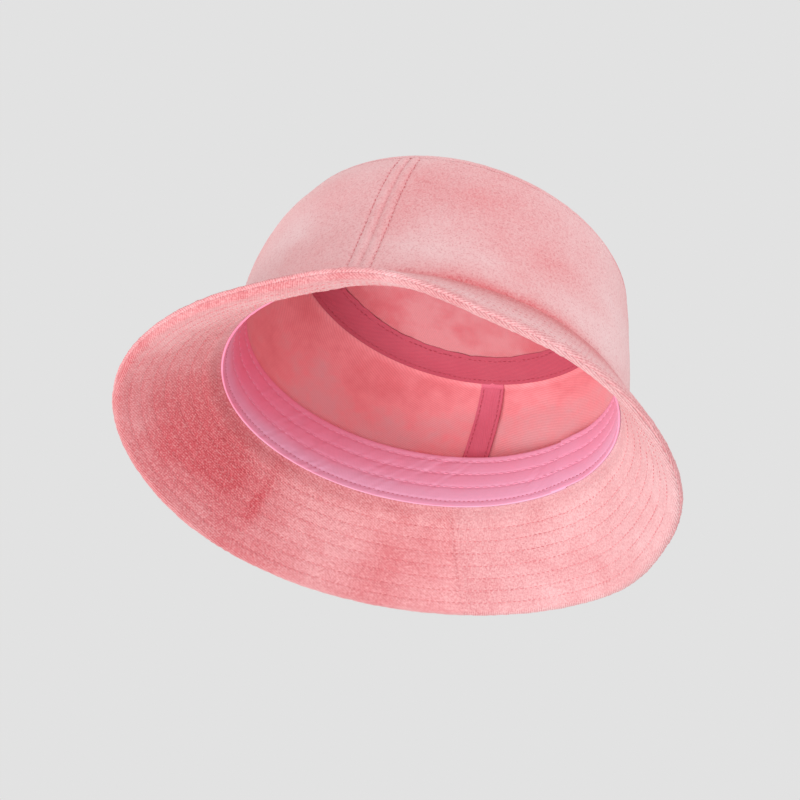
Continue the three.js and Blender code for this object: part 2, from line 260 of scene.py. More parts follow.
class Nodes:
    """A small builder for node trees."""

    def __init__(self, name):
        self.material = bpy.data.materials.new(name)
        self.material.use_nodes = True
        self.tree = self.material.node_tree
        self.shader = self.tree.nodes["Principled BSDF"]
        coord = self.tree.nodes.new("ShaderNodeTexCoord")
        self.coord = coord.outputs["Object"]

    def link(self, value, socket):
        if isinstance(value, bpy.types.NodeSocket):
            self.tree.links.new(value, socket)
        else:
            socket.default_value = value

    def stored(self, name, vector=False):
        node = self.tree.nodes.new("ShaderNodeAttribute")
        node.attribute_name = name
        return node.outputs["Vector" if vector else "Fac"]

    def noise(self, scale, detail=2.0, rough=0.5):
        node = self.tree.nodes.new("ShaderNodeTexNoise")
        node.inputs["Scale"].default_value = scale
        node.inputs["Detail"].default_value = detail
        node.inputs["Roughness"].default_value = rough
        node.inputs["Distortion"].default_value = 0.0
        self.link(self.coord, node.inputs["Vector"])
        return node.outputs["Fac"]

    def mapped(self, rotation=(0, 0, 0), vector=None):
        node = self.tree.nodes.new("ShaderNodeMapping")
        node.inputs["Rotation"].default_value = rotation
        self.link(vector or self.coord, node.inputs["Vector"])
        return node.outputs["Vector"]

    def wave(self, scale, vector, distortion=0.0, detail_scale=1.0):
        node = self.tree.nodes.new("ShaderNodeTexWave")
        node.inputs["Scale"].default_value = scale
        node.inputs["Distortion"].default_value = distortion
        node.inputs["Detail Scale"].default_value = detail_scale
        self.link(vector, node.inputs["Vector"])
        return node.outputs["Fac"]

    def math(self, operation, a, b=0.0):
        node = self.tree.nodes.new("ShaderNodeMath")
        node.operation = operation
        self.link(a, node.inputs[0])
        self.link(b, node.inputs[1])
        return node.outputs[0]

    def ramp(self, value, stops):
        node = self.tree.nodes.new("ShaderNodeValToRGB")
        elements = node.color_ramp.elements
        while len(elements) < len(stops):
            elements.new(0.5)
        for element, (at, colour) in zip(elements, stops):
            element.position = at
            element.color = (*colour, 1) if len(colour) == 3 else colour
        self.link(value, node.inputs[0])
        return node.outputs[0]

    def mix(self, factor, a, b, mode="MIX"):
        node = self.tree.nodes.new("ShaderNodeMix")
        node.data_type = "RGBA"
        node.blend_type = mode
        self.link(factor, node.inputs["Factor"])
        for value, socket in ((a, node.inputs[6]), (b, node.inputs[7])):
            self.link((*value, 1) if isinstance(value, tuple) and len(value) == 3 else value, socket)
        return node.outputs[2]

    def bump(self, height, strength, distance):
        node = self.tree.nodes.new("ShaderNodeBump")
        node.inputs["Strength"].default_value = strength
        node.inputs["Distance"].default_value = distance
        self.link(height, node.inputs["Height"])
        return node.outputs["Normal"]

    def finish(self, colour, rough, normal, sheen=0.0, sheen_rough=0.5, tint=(1, 1, 1), specular=0.3):
        s = self.shader.inputs
        self.link(colour, s["Base Color"])
        self.link(rough, s["Roughness"])
        if normal is not None:
            self.link(normal, s["Normal"])
        s["Sheen Weight"].default_value = sheen
        s["Sheen Roughness"].default_value = sheen_rough
        s["Sheen Tint"].default_value = (*tint, 1)
        s["Specular IOR Level"].default_value = specular
        return self.material


def srgb(*values):
    return tuple(((v / 255 + 0.055) / 1.055) ** 2.4 if v > 10 else v / 255 / 12.92 for v in values)


def terry(name, deep, pale, turn, ribs=0.3, sheen=0.6, grain=1.0):
    """Short looped pile: loops about 1 mm across, in ribs 1.1 mm apart.

    Vertices store the tone of the pile (0 deep to 1 pale), where stitches press it down, where the rim
    bends it open, and its flat pattern in mm. The hollows between loops, and the pressed and opened places,
    are painted darker as shade, and the loop tops are painted paler as a highlight."""
    n = Nodes(name)
    tone, press, rim = n.stored("tone"), n.stored("press"), n.stored("rim")
    pattern = n.mapped((0, 0, math.radians(turn)), n.stored("flat", True))
    rib = n.wave(RIB_SCALE, pattern, 2.2, 0.5)
    loops = n.noise(980, 2.0, 0.6)
    fine = n.noise(2300, 1.0, 0.5)
    broken = n.noise(420, 1.0, 0.5)
    height = n.math("ADD", n.math("MULTIPLY", loops, 0.72), n.math("MULTIPLY", fine, 0.28))
    depth = n.math("ADD", n.math("MULTIPLY", rim, 0.26), 0.13 * ribs)
    rows = n.math("MULTIPLY", n.math("SUBTRACT", rib, 0.55), depth)
    height = n.math("ADD", height, n.math("MULTIPLY", rows, n.math("ADD", broken, 0.5)))
    height = n.math("SUBTRACT", height, n.math("MULTIPLY", press, 0.13))
    height = n.math("SUBTRACT", height, n.math("MULTIPLY", rim, 0.02))
    ground = n.ramp(tone, [(0.0, deep), (1.0, pale)])
    # The pit colours paint shade into the hollows between loops; grain sets how strong it is.
    low = tuple(1 - v * grain for v in (0.28, 0.60, 0.57))
    mild = tuple(1 - v * grain for v in (0.05, 0.17, 0.16))
    pit_shade = n.ramp(height, [(0.34, low), (0.44, mild), (0.50, (1, 1, 1))])
    colour = n.mix(1.0, ground, pit_shade, "MULTIPLY")
    # A pale colour on the loop tops: painted highlight.
    tip_highlight = n.ramp(height, [(0.49, (0, 0, 0)), (0.62, (1, 1, 1))])
    colour = n.mix(n.math("MULTIPLY", tip_highlight, 0.5 * grain), colour, srgb(252, 216, 214))
    normal = n.bump(height, 0.25 + 0.5 * grain, 0.0009)
    return n.finish(colour, 0.95, normal, sheen, 0.5, srgb(255, 232, 230), 0.12)


def knit_back(name, colour_a, colour_b, turn=65.0):
    """Smooth reverse of the terry: fine slanting wales 1.1 mm apart."""
    n = Nodes(name)
    pattern = n.mapped((0, 0, math.radians(turn)), n.stored("flat", True))
    wale = n.wave(RIB_SCALE, pattern, 0.8, 0.4)
    wide = n.math("MULTIPLY", n.noise(30, 3, 0.6), 0.75)
    small = n.math("MULTIPLY", n.noise(160, 2, 0.6), 0.25)
    stored = n.math("MULTIPLY", n.math("SUBTRACT", n.stored("tone"), 0.5), 0.5)
    patches = n.math("ADD", n.math("ADD", wide, small), stored)
    yarn = n.noise(1500, 2, 0.6)
    height = n.math("ADD", n.math("MULTIPLY", wale, 0.35), n.math("MULTIPLY", yarn, 0.5))
    # Low tone, as at the top of the inner wall, takes the darkest colour: painted shade there, random tone
    # elsewhere.
    dark = tuple(v * part for v, part in zip(colour_a, (0.88, 0.68, 0.70)))
    tone = n.ramp(patches, [(0.16, dark), (0.42, colour_a), (0.64, colour_b)])
    lines = n.ramp(height, [(0.25, (0.88, 0.78, 0.80)), (0.6, (1, 1, 1))])
    colour = n.mix(0.7, tone, lines, "MULTIPLY")
    return n.finish(colour, 0.85, n.bump(height, 0.35, 0.0004), 0.3, 0.5, srgb(255, 224, 222), 0.2)


def woven(name, colour_a, colour_b, rough, sheen, specular, fine=1600.0, strength=0.25, toned=False):
    """Close plain weave, for the band, the tapes and the interlinings.

    Toned cloth reads its tone from the mesh."""
    n = Nodes(name)
    across = n.wave(fine * 0.32, n.mapped(rotation=(0, 0, math.radians(45))), 0.3)
    along = n.wave(fine * 0.32, n.mapped(rotation=(0, math.radians(90), 0)), 0.3)
    patches = n.noise(60, 3, 0.6)
    yarn = n.noise(fine, 2, 0.5)
    height = n.math("ADD", n.math("MULTIPLY", across, 0.5), n.math("MULTIPLY", along, 0.5))
    height = n.math("ADD", height, n.math("MULTIPLY", yarn, 0.3))
    tone = n.ramp(n.stored("tone") if toned else patches, [(0.1, colour_a), (0.9, colour_b)])
    threads = n.ramp(height, [(0.3, (0.88, 0.84, 0.86)), (0.85, (1, 1, 1))])
    colour = n.mix(0.15 if toned else 0.5, tone, threads, "MULTIPLY")
    normal = n.bump(height, strength, 0.0002)
    return n.finish(colour, rough, normal, sheen, 0.3, srgb(255, 214, 236), specular)


TERRY_CROWN = terry("terry_crown", srgb(238, 138, 143), srgb(248, 210, 212), 35, 0.15, 0.5, 0.55)
TERRY_BRIM = terry("terry_brim", srgb(216, 88, 96), srgb(246, 194, 197), 11, 0.4, 0.3, 0.6)
TERRY_UNDER_A = terry("terry_under_a", srgb(198, 84, 92), srgb(234, 184, 186), 11, 0.8, 0.6, 0.5)
TERRY_UNDER_B = terry("terry_under_b", srgb(198, 84, 92), srgb(228, 184, 186), 11, 0.25, 0.6, 0.5)
KNIT = knit_back("terry_reverse", srgb(252, 166, 172), srgb(240, 184, 188))
# A darker copy of the terry's reverse for the tip's underside: painted shade.
KNIT_TIP_SHADE = knit_back("terry_reverse_tip_shade", srgb(202, 110, 117), srgb(208, 139, 143), 20.0)
SATIN = woven(
    "satin_band", srgb(246, 114, 148), srgb(236, 178, 206), 0.42, 0.35, 0.4, strength=0.1, toned=True
)
TAPE = woven("seam_tape", srgb(216, 104, 128), srgb(222, 120, 142), 0.75, 0.25, 0.25, 1300, 0.4)
# A darker copy of the seam tape for the tape round the tip seam: painted shade.
TIP_TAPE_SHADE = woven("tip_tape", srgb(182, 73, 93), srgb(188, 86, 103), 0.75, 0.25, 0.25, 1300, 0.4)
LINING = woven("interlining", srgb(236, 226, 222), srgb(246, 240, 236), 0.9, 0.1, 0.2, 900, 0.4)


def thread_material(name, colour_a, colour_b):
    n = Nodes(name)
    twist = n.wave(900, n.mapped(rotation=(0.6, 0.5, 0.7)), 0.4)
    colour = n.ramp(twist, [(0.2, colour_a), (0.8, colour_b)])
    return n.finish(colour, 0.55, n.bump(twist, 0.4, 0.0001), 0.3, 0.4, (1, 0.9, 0.92), 0.4)


THREAD_SHELL = thread_material("thread_shell", srgb(206, 84, 94), srgb(226, 112, 120))
THREAD_UNDER = thread_material("thread_under", srgb(214, 108, 116), srgb(230, 136, 142))
THREAD_TOP = thread_material("thread_top", srgb(232, 150, 156), srgb(242, 178, 182))
THREAD_BAND = thread_material("thread_band", srgb(238, 140, 172), srgb(252, 186, 208))
THREAD_TAPE = thread_material("thread_tape", srgb(168, 44, 66), srgb(196, 66, 88))


# ---------- Crown ----------


def crown_relief(p, z, points):
    """How far the crown's cloth stands out from its CAD surface, in mm: soft waves, then the seam."""
    d = seam_distance(p)
    wave = 0.8 * soft_noise(points, 42, 1) + 0.3 * soft_noise(points, 15, 2)
    rise = np.clip(z / 20, 0, 1) * np.clip((CROWN_H - z) / 10, 0.2, 1)
    seam = -0.8 * groove(d, 0.9) + 0.4 * groove(np.abs(d) - 2.9, 1.7)
    rows = -(0.3 + 0.35 * dashes(z)) * groove(np.abs(d) - TOPSTITCH, 0.75)
    return wave * rise, seam + rows


# Deeper and paler places of the dyed cloth, for spots(). The deep patch at the foot (303 degrees, height 1)
# is painted shade in the crease above the brim, and the wide pale patch at 345 degrees is painted light on
# that side.
CROWN_PATCHES = [
    (287, 60, 30, 13, -0.40), (268, 68, 14, 10, -0.2), (267, 42, 9, 12, -0.22), (316, 38, 26, 13, -0.3),
    (239, 66, 16, 9, -0.2), (204, 60, 14, 14, -0.2), (284, 20, 34, 8, 0.25),
    (303, 1, 42, 6, -0.7),
    (234, 43, 22, 14, 0.25), (330, 12, 20, 10, 0.1), (345, 45, 34, 50, 0.35),
]


def mottle(points, wide, middle, small):
    """Uneven dye: noise in three sizes, each a size in millimetres, a seed and a weight."""
    parts = [weight * soft_noise(points, size, seed) for size, seed, weight in (wide, middle, small)]
    return parts[0] + parts[1] + parts[2]


def crown_tone(p, z, points):
    patches = mottle(points, (34, 31, 0.16), (13, 32, 0.10), (5, 33, 0.05))
    return np.clip(0.56 + patches + spots(p, z, *CROWN_PATCHES), 0, 1)


def pile(points, height=0.13):
    return height * (soft_noise(points, 1.25, 41) + 0.6 * soft_noise(points, 2.3, 42))


def crown_side(side):
    p = half_angles(side)[:, None]
    z = np.concatenate([[1.2, 1.6, 2.2, 3.0], np.linspace(4, 84.6, 152), [85.2, 85.7, WALL_TOP]])[None]
    base = crown(p, z, WALL_OUT)
    sway, seam = crown_relief(p, z, base)
    foot = -1.2 * groove(z - 1.2, 1.6)
    head = -0.3 * groove(z - WALL_TOP, 0.9)
    outer = crown(p, z, WALL_OUT + sway + seam + foot + head + pile(base))
    turn_in = [85.2, 85.9, 86.5, 87.0, 87.6, 88.2, 88.9, 89.6, 90.1, 90.6]
    zi = np.concatenate([np.linspace(2.2, 84.5, 56), turn_in])[None]
    bends = [2.2, 84.5, 85.9, 87.0, 88.2, 89.6, 90.6]
    off = np.interp(zi, bends, [WALL_IN, WALL_IN, 2.5, 1.4, -0.2, -3.4, -9])
    inside = crown(p, zi, off)
    sway_in, _ = crown_relief(p, zi, inside)
    inner = crown(p, zi, off + np.clip(sway_in, -0.6, 0.6) * np.clip((84.5 - zi) / 8, 0, 1))
    turned = crown(p, np.array([[86.1, 88.2, 90.0, 91.1, 91.4]]), np.array([[3.3, 2.7, 1.3, -0.9, -9]]))
    name = "crown_side_" + "ab"[side]
    loops = strip_outline(np.concatenate([outer, turned], 1), inner)
    obj = sweep(name, loops, False, TERRY_CROWN)
    obj.data.materials.append(KNIT)
    m_out, m_all, n = z.shape[1] + 5, loops.shape[1], len(p)
    columns = np.tile(np.arange(m_all), n - 1)
    flags = np.zeros(len(obj.data.polygons), int)
    flags[: len(columns)] = np.where((columns >= m_out - 5) & (columns < m_all - 1), 1, 0)
    obj.data.polygons.foreach_set("material_index", flags.tolist())
    d = seam_distance(p)
    # Where the seam and topstitch rows press the pile; the terry paints these lines darker as shade.
    press = 0.9 * groove(d, 0.7) * (0.35 + 0.65 * dashes(z, 1.9))
    press = press + groove(np.abs(d) - TOPSTITCH, 0.6) * (0.1 + 0.8 * dashes(z))
    pad = np.zeros((n, m_all - z.shape[1]))
    heights = np.concatenate([z + 0 * p, 88 + 0 * pad[:, :5], (zi + 0 * p)[:, ::-1]], 1)
    arc = (p - SEAMS[side]) * HEAD_R * WALL_ARC + 0 * heights
    # Inner wall tone: painted shade darkens it towards the top, painted light makes one side paler, and noise
    # adds random tone.
    knit = 0.5 - 0.6 * np.clip((zi - 62) / 22, 0, 1) + 0.12 * np.cos(p - math.radians(50))
    knit = knit + 0.2 * soft_noise(inside, 26, 34)
    tone = np.concatenate([crown_tone(p, z, base), pad[:, :5] + 0.5, np.clip(knit, 0, 1)[:, ::-1]], 1)
    paint(
        obj, tone=tone, press=np.concatenate([press, pad], 1),
        flat=np.stack([arc, heights, 0 * heights], -1),
    )
    return seat(obj, "terry_crown", "crown_side_panel_" + "ab"[side], flat=(0.31, 0.12), area=0.0275)


crown_side(0)
crown_side(1)


def crown_tip():
    p = ring_angles(0.6)[:, None]
    bend = np.radians(np.concatenate([[20.5], np.linspace(24, 90, 14)]))
    top = [(0.32, WALL_TOP + 0.02), (0.12, 86.4), (0.02, 86.9)]
    top += [(SHOULDER * (1 - math.cos(a)), TIP_TOP - SHOULDER * (1 - math.sin(a))) for a in bend]
    top += [(10, TIP_TOP), (14, TIP_TOP), (18, TIP_TOP), (22, TIP_TOP)]
    small = SHOULDER - TERRY
    under = [(TERRY, WALL_TOP + 0.3)]
    under += [(TERRY + small * (1 - math.cos(a)), 91.7 - small * (1 - math.sin(a))) for a in bend]
    under += [(10.2, 91.6), (14, 91.5), (18, 91.4), (22, 91.4)]

    def face(profile):
        inset = np.array([v[0] for v in profile])[None]
        z = np.array([v[1] for v in profile])[None]
        rim = crown(p, z, WALL_OUT - inset)
        last = rim[:, -1:]
        centre = last.mean(0, keepdims=True)
        share = np.linspace(0.985, 0.015, 80)[None, :, None]
        return np.concatenate([rim, centre + (last - centre) * share], 1)

    def swell(points, sign):
        n = points.shape[1]
        fade = np.clip((np.arange(n) - 3) / 14, 0, 1)[None, :, None]
        lift = (0.6 * soft_noise(points, 36, 5) + 0.25 * soft_noise(points, 13, 6))[..., None] * fade
        if sign > 0:
            lift = lift + pile(points)[..., None]
        else:
            lift = lift * np.clip((np.arange(n) - 22) / 20, 0, 1)[None, :, None]
        return points + np.array([0, 0, 1.0]) * lift

    outer, inner = swell(face(top), 1), swell(face(under), -1)
    m1 = outer.shape[1]
    loops = strip_outline(outer, inner)
    n, m = loops.shape[:2]
    points = loops.reshape(-1, 3)
    quads = grid_faces(n, m, True, True)
    keep = np.tile(np.arange(m), n) != m1 - 1
    quads = quads[keep]
    v = points[quads]
    area = np.cross(v[:, 2] - v[:, 0], v[:, 3] - v[:, 1])
    inside_out = np.einsum("ij,ij->", v.mean(1) - points.mean(0), area) < 0
    faces = (quads[:, ::-1] if inside_out else quads).tolist()
    first = [i * m + m1 - 1 for i in range(n)]
    last = [i * m + m1 for i in range(n)]
    faces.append(first[::-1] if inside_out else first)
    faces.append(last if inside_out else last[::-1])
    obj = build("crown_tip", points, faces, TERRY_CROWN)
    obj.data.materials.append(KNIT_TIP_SHADE)
    columns = np.tile(np.arange(m), n)[keep]
    flags = np.zeros(len(obj.data.polygons), int)
    flags[: len(columns)] = np.where((columns >= m1) & (columns < m - 1), 1, 0)
    flags[len(columns) + 1 :] = 1
    obj.data.polygons.foreach_set("material_index", flags.tolist())
    patches = 0.2 * soft_noise(loops, 34, 31) + 0.12 * soft_noise(loops, 13, 32)
    # The tip seam's stitches press the pile, which the terry paints darker as shade.
    seam = groove(np.arange(m), 2.5)[None] * (0.02 + 0.08 * dashes(p * HEAD_R)) + np.zeros((n, m))
    paint(obj, tone=np.clip(0.56 + patches, 0, 1), press=seam, flat=loops)
    return seat(obj, "terry_crown", "crown_tip_panel", flat=(0.163, 0.191), area=0.0245)


crown_tip()

# ---------- Brim ----------


def brim_along(p, s):
    return p * (HEAD_R + 0.68 * s)


def row_pull(p, s):
    """Sewn rows pull the brim's face in, stitch by stitch, and leave it full between them."""
    nearest = np.min([np.abs(s - row) for row in BRIM_ROWS], axis=0)
    depth = 0.03 + 0.2 * dashes(brim_along(p, s))
    return -depth * groove(nearest, 0.6) - 0.06 * groove(nearest, 2.2) + 0.05


def brim_relief(p, s, seed):
    base = brim(p, s, 0)
    d = seam_distance(p) * (1 + 0.0074 * s)
    wave = 0.2 * soft_noise(base, 14, seed) + 0.35 * soft_noise(base, 40, seed + 1)
    radial = 0.14 * noise(p * 13.0, s / 22.0 + seed)
    seam = -0.3 * groove(d, 0.8) + 0.2 * groove(np.abs(d) - 2.6, 1.5)
    fade = np.clip((BRIM_L - s) / 5, 0, 1) * np.clip((s + 1) / 4, 0, 1)
    return (row_pull(p, s) + wave + radial) * fade + seam * np.clip((BRIM_L - s) / 6, 0, 1)


def brim_press(p, s, top):
    nearest = np.min([np.abs(s - row) for row in BRIM_ROWS], axis=0)
    d = seam_distance(p) * (1 + 0.0074 * s)
    faint = (0.55 + 0.3 * np.cos(p - math.radians(190))) * (1 + 0.5 * groove(s - BRIM_ROWS[-1], 1))
    if top:
        faint = 0.25 + 0.9 * groove(s, 24)
    rows = groove(nearest, 0.45) * faint * (0.02 + 0.95 * dashes(brim_along(p, s)) ** 2)
    return rows + 0.6 * groove(d, 0.6) * (0.05 + 0.9 * dashes(s, 2.4))


# Places on the brim's top, for spots(): the deep patch at 302 degrees beside the head seam is painted shade
# in the crease; the others vary the tone.
BRIM_TOP_PATCHES = [(302, 7, 60, 11, -0.45), (300, 48, 70, 16, 0.2), (205, 45, 60, 20, -0.15)]
# Places under the brim, for spots(): the wide deep patch at 205 degrees is painted shade on the darker side;
# the others vary the tone.
BRIM_UNDER_PATCHES = [
    (178, 24, 26, 12, -0.22), (157, 24, 18, 16, -0.25), (142, 25, 3, 15, -0.28), (150, 25, 12, 12, -0.12),
    (121, 32, 14, 22, 0.14), (101, 30, 12, 20, -0.2), (88, 22, 10, 14, -0.1), (205, 28, 45, 24, -0.15),
    (150, 50, 40, 6, 0.05), (243, 46, 60, 14, 0.25),
]


def brim_tone(p, s, top):
    patches = mottle(brim(p, s, 0), (30, 51, 0.15), (12, 52, 0.1), (5, 53, 0.07))
    if top:
        placed = spots(p, s, *BRIM_TOP_PATCHES)
        # The top is painted darker beside the head seam all round, as shade in the crease, and darker at the
        # rim.
        return np.clip(0.74 - 0.25 * groove(s, 9) - 0.15 * groove(s - 57, 4) + 0.8 * patches + placed, 0, 1)
    # One half of the underside is painted paler and the other deeper: painted light and shade.
    side = 0.29 * np.cos(p - math.radians(15))
    return np.clip(0.49 + side + patches + spots(p, s, *BRIM_UNDER_PATCHES), 0, 1)


S_FINE = np.concatenate([[2.2, 3.0], np.arange(3.8, 54.6, 0.5)])[None]
ROLL = np.radians([8, 18, 28, 38, 48, 58, 68, 77, 84, 89.9])
CONE_SHARE = 0.686  # cosine of the brim's slope: the share of a full turn that it unrolls to


def edge_roll(p, sign):
    """Section of the rim, a rounded roll that the two layers share."""
    centre = BRIM_L - LAYER_OUT
    lump = 0.15 * noise(p * 55.0, 3.3) + 0.2 * noise(p * 95.0 + 4 * ROLL[None], ROLL[None] * 2 + 8.1)
    s = centre + (LAYER_OUT + lump) * np.sin(ROLL)[None]
    t = sign * (LAYER_OUT + 0.05 + lump) * np.cos(ROLL)[None]
    return brim(p, s, t)


def brim_layer(side, top):
    p = half_angles(side, 0.5)[:, None]
    sign = 1 if top else -1
    relief = brim_relief(p, S_FINE, 11 if top else 21)
    loose = np.clip(1 - 0.7 * brim_press(p, S_FINE, top), 0, 1)
    relief = relief + pile(brim(p, S_FINE, sign * LAYER_OUT)) * loose
    thin = 0 if top else 1.7 * np.clip(1 - (S_FINE - 0.5) / 7, 0, 1) ** 1.5
    face = brim(p, S_FINE, sign * (LAYER_OUT - thin + relief))
    if top:
        start = [crown(p, 8.3, 3.2), crown(p, 3.5, 3.2), crown(p, 1.7, 3.25)]
        start += [brim(p, 0.4, 2.3), brim(p, 1.2, 2.75)]
        hidden = [crown(p, 8.3, 2.4), crown(p, 0.5, 2.4)]
        inner_s = [1, 18, 35, 51, 54, 55.2]
    else:
        start = [crown(p, 8.3, 1.3), crown(p, 3.5, 1.3), crown(p, 0.4, 1.3)]
        start += [brim(p, 0.3, -1.0), brim(p, 1.2, -1.35)]
        hidden = [crown(p, 8.3, 2.1), crown(p, 0.2, 2.1)]
        inner_s = [2, 18, 35, 51, 54, 55.2]
    front = np.concatenate(start + [face, edge_roll(p, sign)], 1)
    inner_t = sign * np.array([LAYER_IN if top else 0.4, LAYER_IN, LAYER_IN, LAYER_IN, 0.6, 0.2])[None]
    back = np.concatenate(hidden + [brim(p, np.array(inner_s)[None], inner_t)], 1)
    kind, material = ("top", TERRY_BRIM) if top else ("under", (TERRY_UNDER_A, TERRY_UNDER_B)[side])
    obj = sweep(f"brim_{kind}_" + "ab"[side], strip_outline(front, back), False, material)
    reach = BRIM_L - LAYER_OUT + LAYER_OUT * ROLL
    s = np.concatenate([[-7, -3, 0, 0.6, 1.4], S_FINE[0], reach])[None] + 0 * p
    pad = np.zeros((len(p), back.shape[1]))
    turn = (p - (SEAMS[0] + SEAMS[1]) / 2 - side * np.pi) * CONE_SHARE
    far = HEAD_R / CONE_SHARE + np.concatenate([s, pad], 1)
    smooth_part = 1 - 0.9 * np.exp(-(((np.mod(p, 2 * np.pi) - math.radians(245)) / 0.6) ** 2))
    rim = np.clip((s - 54.6) / 1.0, 0, 1) * (0.6 if top else smooth_part)
    press = brim_press(p, s, top) * np.clip(s - 1, 0, 1)
    paint(
        obj, tone=np.concatenate([brim_tone(p, s, top), pad], 1), press=np.concatenate([press, pad], 1),
        rim=np.concatenate([rim, pad], 1),
        flat=np.stack([far * np.cos(turn), far * np.sin(turn), 0 * far], -1),
    )
    slot, node = "terry_brim" if top else "terry_under", f"brim_{kind}_layer_" + "ab"[side]
    return seat(obj, slot, node, flat=(0.13, 0.334), area=0.0221)


for side in (0, 1):
    for top in (True, False):
        brim_layer(side, top)


def brim_stiffener():
    p = ring_angles(2.0)[:, None]
    s = np.linspace(2.2, 54, 40)[None]
    obj = sweep("brim_stiffener", strip_outline(brim(p, s, 0.35), brim(p, s, -0.35)), True, LINING)
    return seat(obj, "interlining", "brim_interlining", flat=(0.293, 0.378), area=0.0365)


brim_stiffener()

# ---------- Sweatband and tapes ----------

LAP_AT = math.radians(445 - 7 * 184 / 33) - 2 * math.pi
LAP_LONG = math.radians(184 / 33)
LAP_STEP = 0.8


def lap_step(p):
    """The band steps inwards where its end laps over its start."""
    d = np.mod(p - LAP_AT + math.pi, 2 * math.pi) - math.pi
    rise = math.radians(7)
    return LAP_STEP * np.clip(np.minimum((d + rise) / rise, (LAP_LONG + rise - d) / rise), 0, 1)


def band_relief(p, z):
    """Quilted rows and the short slanting puckers between them."""
    nearest = np.min([np.abs(z - row) for row in BAND_ROWS], axis=0)
    along = p * HEAD_R
    quilt = -0.22 * (0.7 + 0.6 * dashes(along, 4.4)) * groove(nearest, 0.8)
    quilt = quilt + 0.16 * np.clip(nearest / 3.5, 0, 1)
    slant = along + 0.9 * z
    strength = np.clip(noise(along / 30, z / 40, 4.4) + 0.05, 0, 1)
    strength = strength + spots(p, z, (112, 15, 16, 14, 0.8), (60, 12, 8, 8, 0.6))
    puckers = 0.55 * strength * noise(slant / 2.6, z / 22, 9.2) * np.clip(1.3 - nearest / 4, 0.3, 1)
    return quilt + puckers * np.clip((BAND_H - z) / 3, 0, 1) + 0.25 * noise(along / 24, z / 40, 1.7)


def sweatband():
    turn = np.linspace(0, 2 * math.pi, 740) + LAP_AT
    lap = LAP_AT + 2 * math.pi + np.linspace(0, LAP_LONG, 16)[1:]
    p = np.concatenate([turn, lap])[:, None]
    ramp = np.clip((p - LAP_AT - 2 * math.pi + math.radians(7)) / math.radians(7), 0, 1)
    bottom, top = [0.0, 0.25, 0.7], [BAND_H - 0.6, BAND_H - 0.2, BAND_H]
    z = np.concatenate([bottom, np.linspace(1.2, BAND_H - 1.2, 58), top])[None]
    fold = 0.12 * (groove(z, 0.35) + groove(z - BAND_H, 0.35))
    curl = 0.15 * np.clip(1 - z / 3.2, 0, 1) ** 1.5
    face = crown(p, z, 0.0 - LAP_STEP * ramp + fold + curl - band_relief(p, z) * (1 - 0.5 * fold) + 0.15)
    zb = np.linspace(0.1, BAND_H - 0.1, 6)[None]
    back = crown(p, zb, 1.25 - LAP_STEP * ramp)
    obj = sweep("sweatband_strip", strip_outline(face, back), False, SATIN)
    # The band's tone is painted light and shade: paler on the far side, deeper on the near side, and paler
    # over the hem as a painted sheen; it is also darker along the lower edge, with random tone.
    far_side_light = 0.5 + 0.5 * np.cos(p - math.radians(70))
    hem_highlight = groove(z - 4.5, 6.5) * (0.6 + 0.25 * noise(p * 3, 1.1))
    tone = 0.04 + 0.72 * far_side_light - 0.15 * groove(z, 0.8) + 0.8 * hem_highlight * (1 - 0.5 * far_side_light)
    tone = np.clip(tone + 0.05 * noise(p * 14, z / 12, 3.3), 0, 1)
    paint(obj, tone=np.concatenate([tone, tone[:, :6]], 1))
    return seat(obj, "satin_band", "sweatband", flat=(0.0323, 0.59))


sweatband()


def tip_tape_at(u):
    """Height and distance out of the tape's lower face, u along its width from its outer edge."""
    height = np.interp(u, [0, 4.2, 11.5, 14.5], [85.6, 88.3, 90.1, 91.2])
    return height, np.interp(u, [0, 4.2, 14.5], [1.5, -2.2, -12.1])


def tip_tape():
    p = ring_angles(0.7)[:, None]
    u = np.concatenate([[0.0, 0.12, 0.4], np.linspace(0.9, 13.6, 26), [14.1, 14.38, 14.5]])[None]
    z, off = tip_tape_at(u)
    along = p * HEAD_R * 0.84
    edge = np.clip((u - 10) / 4.5, 0, 1)
    ragged = (0.5 * noise(along / 7, 2.1) + 0.3 * noise(along / 3, 7.7)) * edge
    rows = groove(u - 1.5, 0.7) + groove(u - 11.9, 0.8)
    pull = 0.3 * rows * (0.5 + 0.5 * dashes(along))
    pucker = 0.2 * noise(along / 4.5, u / 12, 3.1) + 0.2 * noise(along / 16, u / 20, 5.9)
    face = crown(p, z - 0.15 - pucker * np.clip(u / 4, 0.15, 1) + pull, off + ragged)
    back = crown(p, z[:, ::4] + 0.4 + 0 * p, off[:, ::4] + 0 * p)
    obj = sweep("tip_tape", strip_outline(face, back), True, TIP_TAPE_SHADE)
    paint(obj, press=np.concatenate([0.6 * rows * dashes(along), 0 * back[..., 0]], 1))
    return seat(obj, "seam_tape", "tip_seam_tape", flat=(0.0145, 0.5))


tip_tape()


